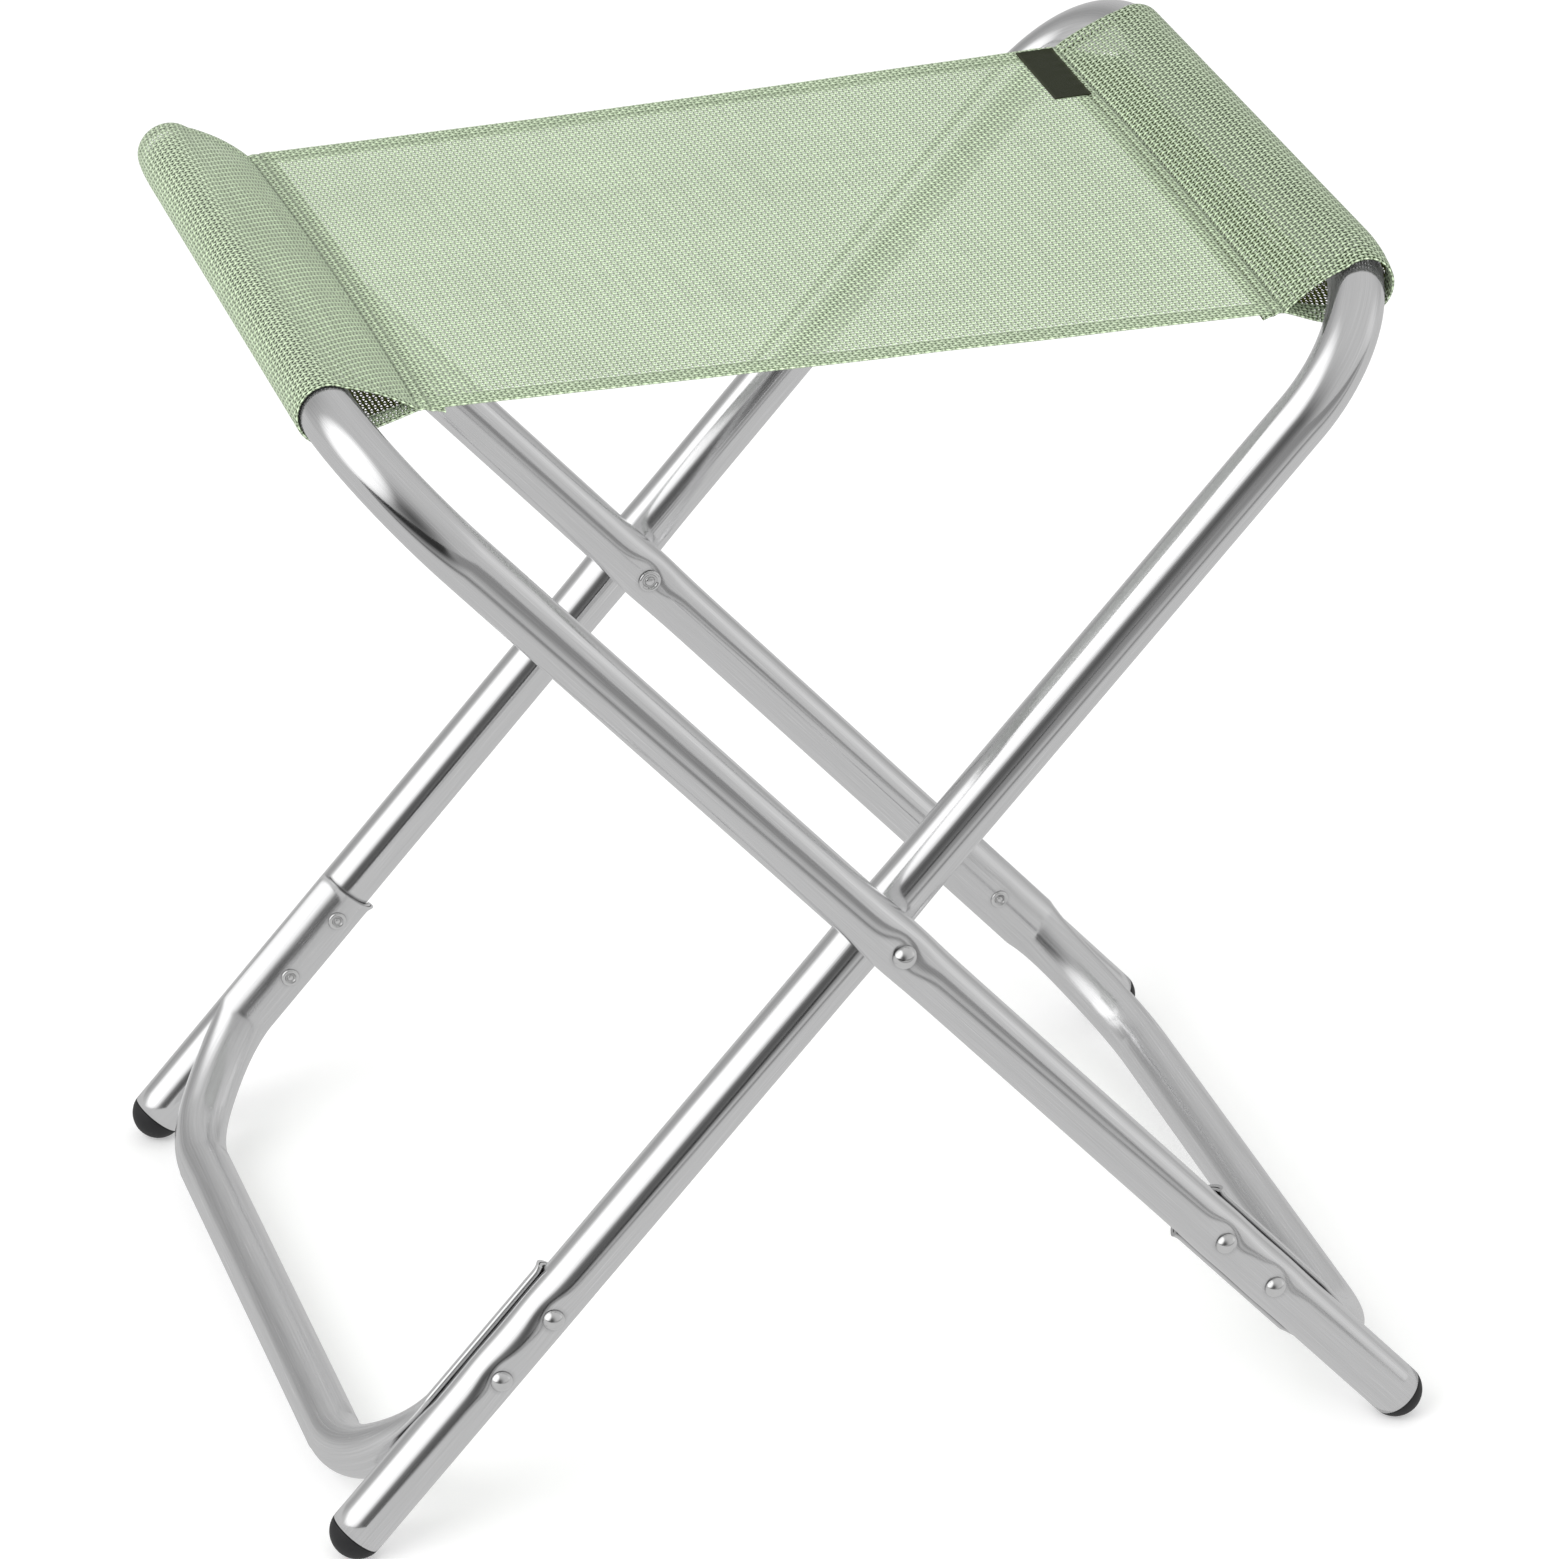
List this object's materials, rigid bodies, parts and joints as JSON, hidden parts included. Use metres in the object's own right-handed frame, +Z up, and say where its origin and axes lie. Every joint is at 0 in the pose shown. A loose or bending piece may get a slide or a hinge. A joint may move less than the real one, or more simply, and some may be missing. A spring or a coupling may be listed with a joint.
{
  "type": "folding stool",
  "caption": "Folding camp stool: two crossed bent-tube frames on a scissor pivot, each with a riveted floor bar, and a mesh cloth seat sewn round the upper crossbars.",
  "frame": {"origin": "on the floor, midway between the feet, under the pivot axis", "axes": "+X across the seat from one sleeve to the other, +Y from front to rear along the pivot axis, +Z up"},
  "size_m": [0.405, 0.3576, 0.4442],
  "materials": {
    "tube": "bare drawn tube, satin polished along its length, clear anodised",
    "plug": "moulded, matt",
    "rivet": "polished domed heads",
    "washer": "natural nylon",
    "cloth": "open woven mesh of coated yarn, sage green",
    "label": "plain woven tape, dark olive"
  },
  "bodies": {
    "frame_a": {"leg_frame_a": "tube", "floor_bar_a": "tube", "foot_plug_a_front": "plug", "foot_plug_a_rear": "plug", "bar_rivet_a_front_upper": "rivet", "bar_rivet_a_front_lower": "rivet", "bar_rivet_a_rear_upper": "rivet", "bar_rivet_a_rear_lower": "rivet", "pivot_rivet_front": "rivet", "pivot_washer_front": "washer"},
    "frame_b": {"leg_frame_b": "tube", "floor_bar_b": "tube", "foot_plug_b_front": "plug", "foot_plug_b_rear": "plug", "bar_rivet_b_front_upper": "rivet", "bar_rivet_b_front_lower": "rivet", "bar_rivet_b_rear_upper": "rivet", "bar_rivet_b_rear_lower": "rivet", "pivot_rivet_rear": "rivet", "pivot_washer_rear": "washer"},
    "seat_left": {"seat_sleeve_left": "cloth", "seat_panel_left": "cloth"},
    "seat_right": {"seat_sleeve_right": "cloth", "seat_panel_right": "cloth", "seat_label": "label"}
  },
  "joints": [
    {"name": "fold", "type": "hinge", "parent": "frame_a", "child": "frame_b", "pos_m": [0, 0, 0.22562], "axis": [0, -1, 0], "range_deg": [0, 77]},
    {"name": "swing_left", "type": "hinge", "parent": "frame_a", "child": "seat_left", "pos_m": [-0.18458, 0, 0.43243], "axis": [0, 1, 0], "range_deg": [0, 46.62], "deforming": ["seat_sleeve_left", "seat_panel_left"]},
    {"name": "swing_right", "type": "hinge", "parent": "frame_b", "child": "seat_right", "pos_m": [0.18458, 0, 0.43243], "axis": [0, -1, 0], "range_deg": [0, 46.62], "deforming": ["seat_sleeve_right", "seat_panel_right"]}
  ],
  "couplings": [
    {"joint": "swing_left", "follows": "fold", "ratio": 0.6054},
    {"joint": "swing_right", "follows": "fold", "ratio": 0.6054}
  ]
}
